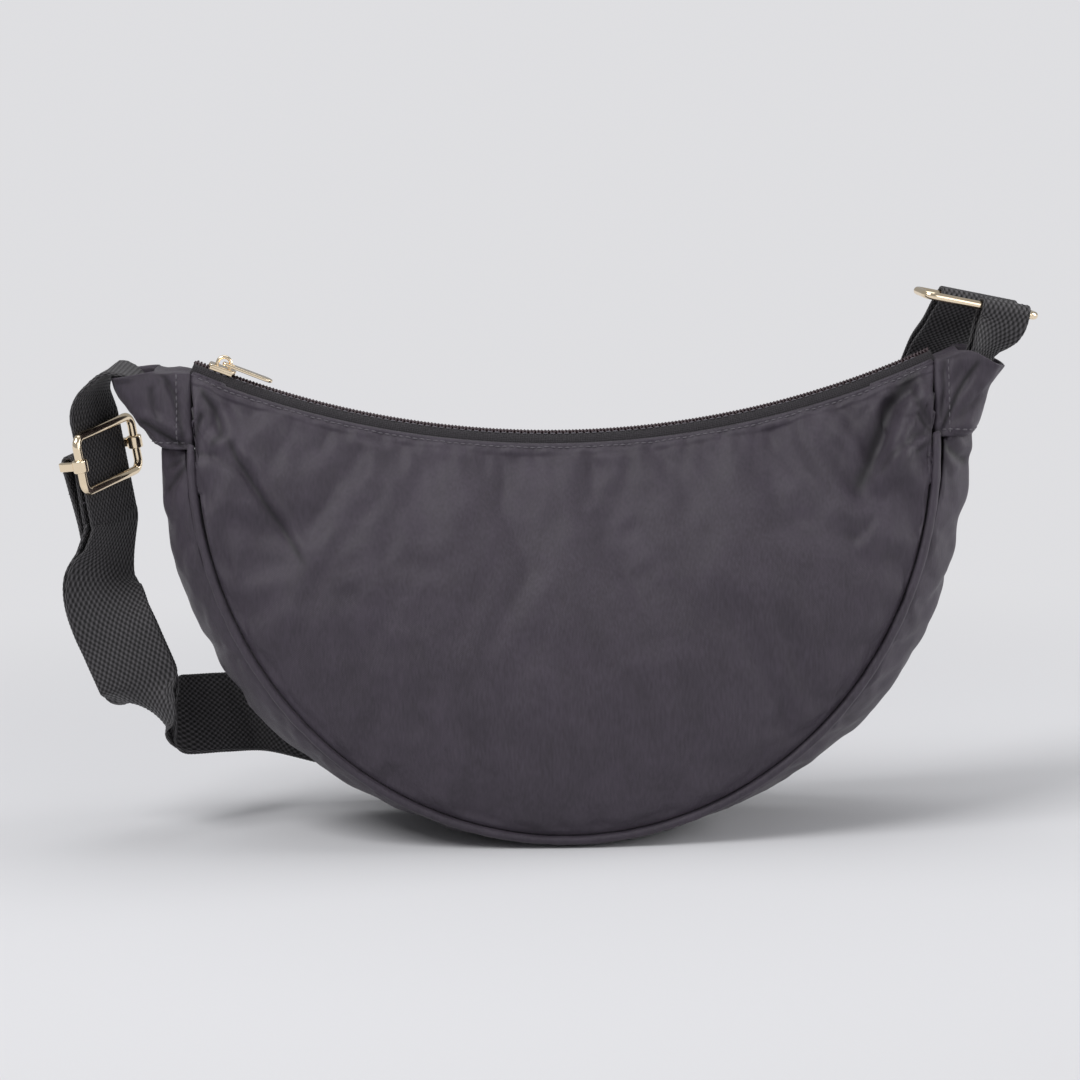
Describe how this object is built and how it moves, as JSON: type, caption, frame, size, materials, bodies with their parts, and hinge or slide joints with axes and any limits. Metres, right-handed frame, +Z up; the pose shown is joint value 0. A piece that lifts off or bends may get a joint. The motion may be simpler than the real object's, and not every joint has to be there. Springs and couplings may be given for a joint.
{
  "type": "bum bag",
  "caption": "Half-moon bum bag in soft dark cloth with a curved top zip, end tabs and a webbing belt that runs through a metal adjuster and a ring.",
  "frame": {"origin": "on the floor, under the middle of the base", "axes": "+X to the right end with the ring, +Y to the back with the strap, +Z up to the zip"},
  "size_m": [0.3831, 0.1024, 0.2116],
  "materials": {
    "cloth": "matt nylon twill, charcoal with a violet tint",
    "lining": "plain smooth lining cloth, near black",
    "webbing": "coarse woven webbing, near black",
    "zip_tape": "close woven zip tape, near black",
    "zip_coil": "nylon coil, dark with a reddish tint",
    "gold": "polished pale gold plating"
  },
  "bodies": {
    "bag": {"front_panel": "cloth", "back_panel": "cloth", "front_lining": "lining", "back_lining": "lining", "front_piping": "cloth", "back_piping": "cloth", "gusset": "cloth", "gusset_lining": "lining", "zip_tape_front": "zip_tape", "zip_tape_back": "zip_tape", "zip_coil_front": "zip_coil", "zip_coil_back": "zip_coil", "left_tab": "cloth", "right_tab": "cloth", "strap_run": "webbing", "strap_return": "webbing", "ring_keeper": "webbing"},
    "zip_slider": {"zip_slider": "gold"},
    "zip_pull": {"zip_pull": "gold"},
    "adjuster": {"adjuster_frame": "gold"},
    "adjuster_bar": {"adjuster_bar": "gold", "strap_end_loop": "webbing"},
    "ring": {"ring": "gold", "strap_fold": "webbing"}
  },
  "joints": [
    {"name": "zip_slider_travel", "type": "hinge", "parent": "bag", "child": "zip_slider", "pos_m": [0, 0, 0.51282], "axis": [0, -1, 0], "range_deg": [0, 41], "deforming": ["zip_coil_front", "zip_coil_back", "zip_tape_front", "zip_tape_back"]},
    {"name": "zip_pull_swing", "type": "hinge", "parent": "zip_slider", "child": "zip_pull", "pos_m": [-0.13145, 0, 0.18664], "axis": [0, -1, 0], "range_deg": [0, 140]},
    {"name": "adjuster_slide", "type": "slide", "parent": "bag", "child": "adjuster", "axis": [0.151, 0.0604, -0.9867], "range_m": [0, 0.01], "deforming": ["strap_run", "strap_return"]},
    {"name": "adjuster_bar_slide", "type": "slide", "parent": "adjuster", "child": "adjuster_bar", "axis": [0.151, 0.0604, -0.9867], "range_m": [-0.004, 0.004], "deforming": ["strap_return"]},
    {"name": "ring_swing", "type": "hinge", "parent": "bag", "child": "ring", "pos_m": [0.16299, -0.00504, 0.20453], "axis": [0.9544, 0.2009, -0.221], "range_deg": [-15, 50], "deforming": ["strap_run", "strap_return"]}
  ]
}
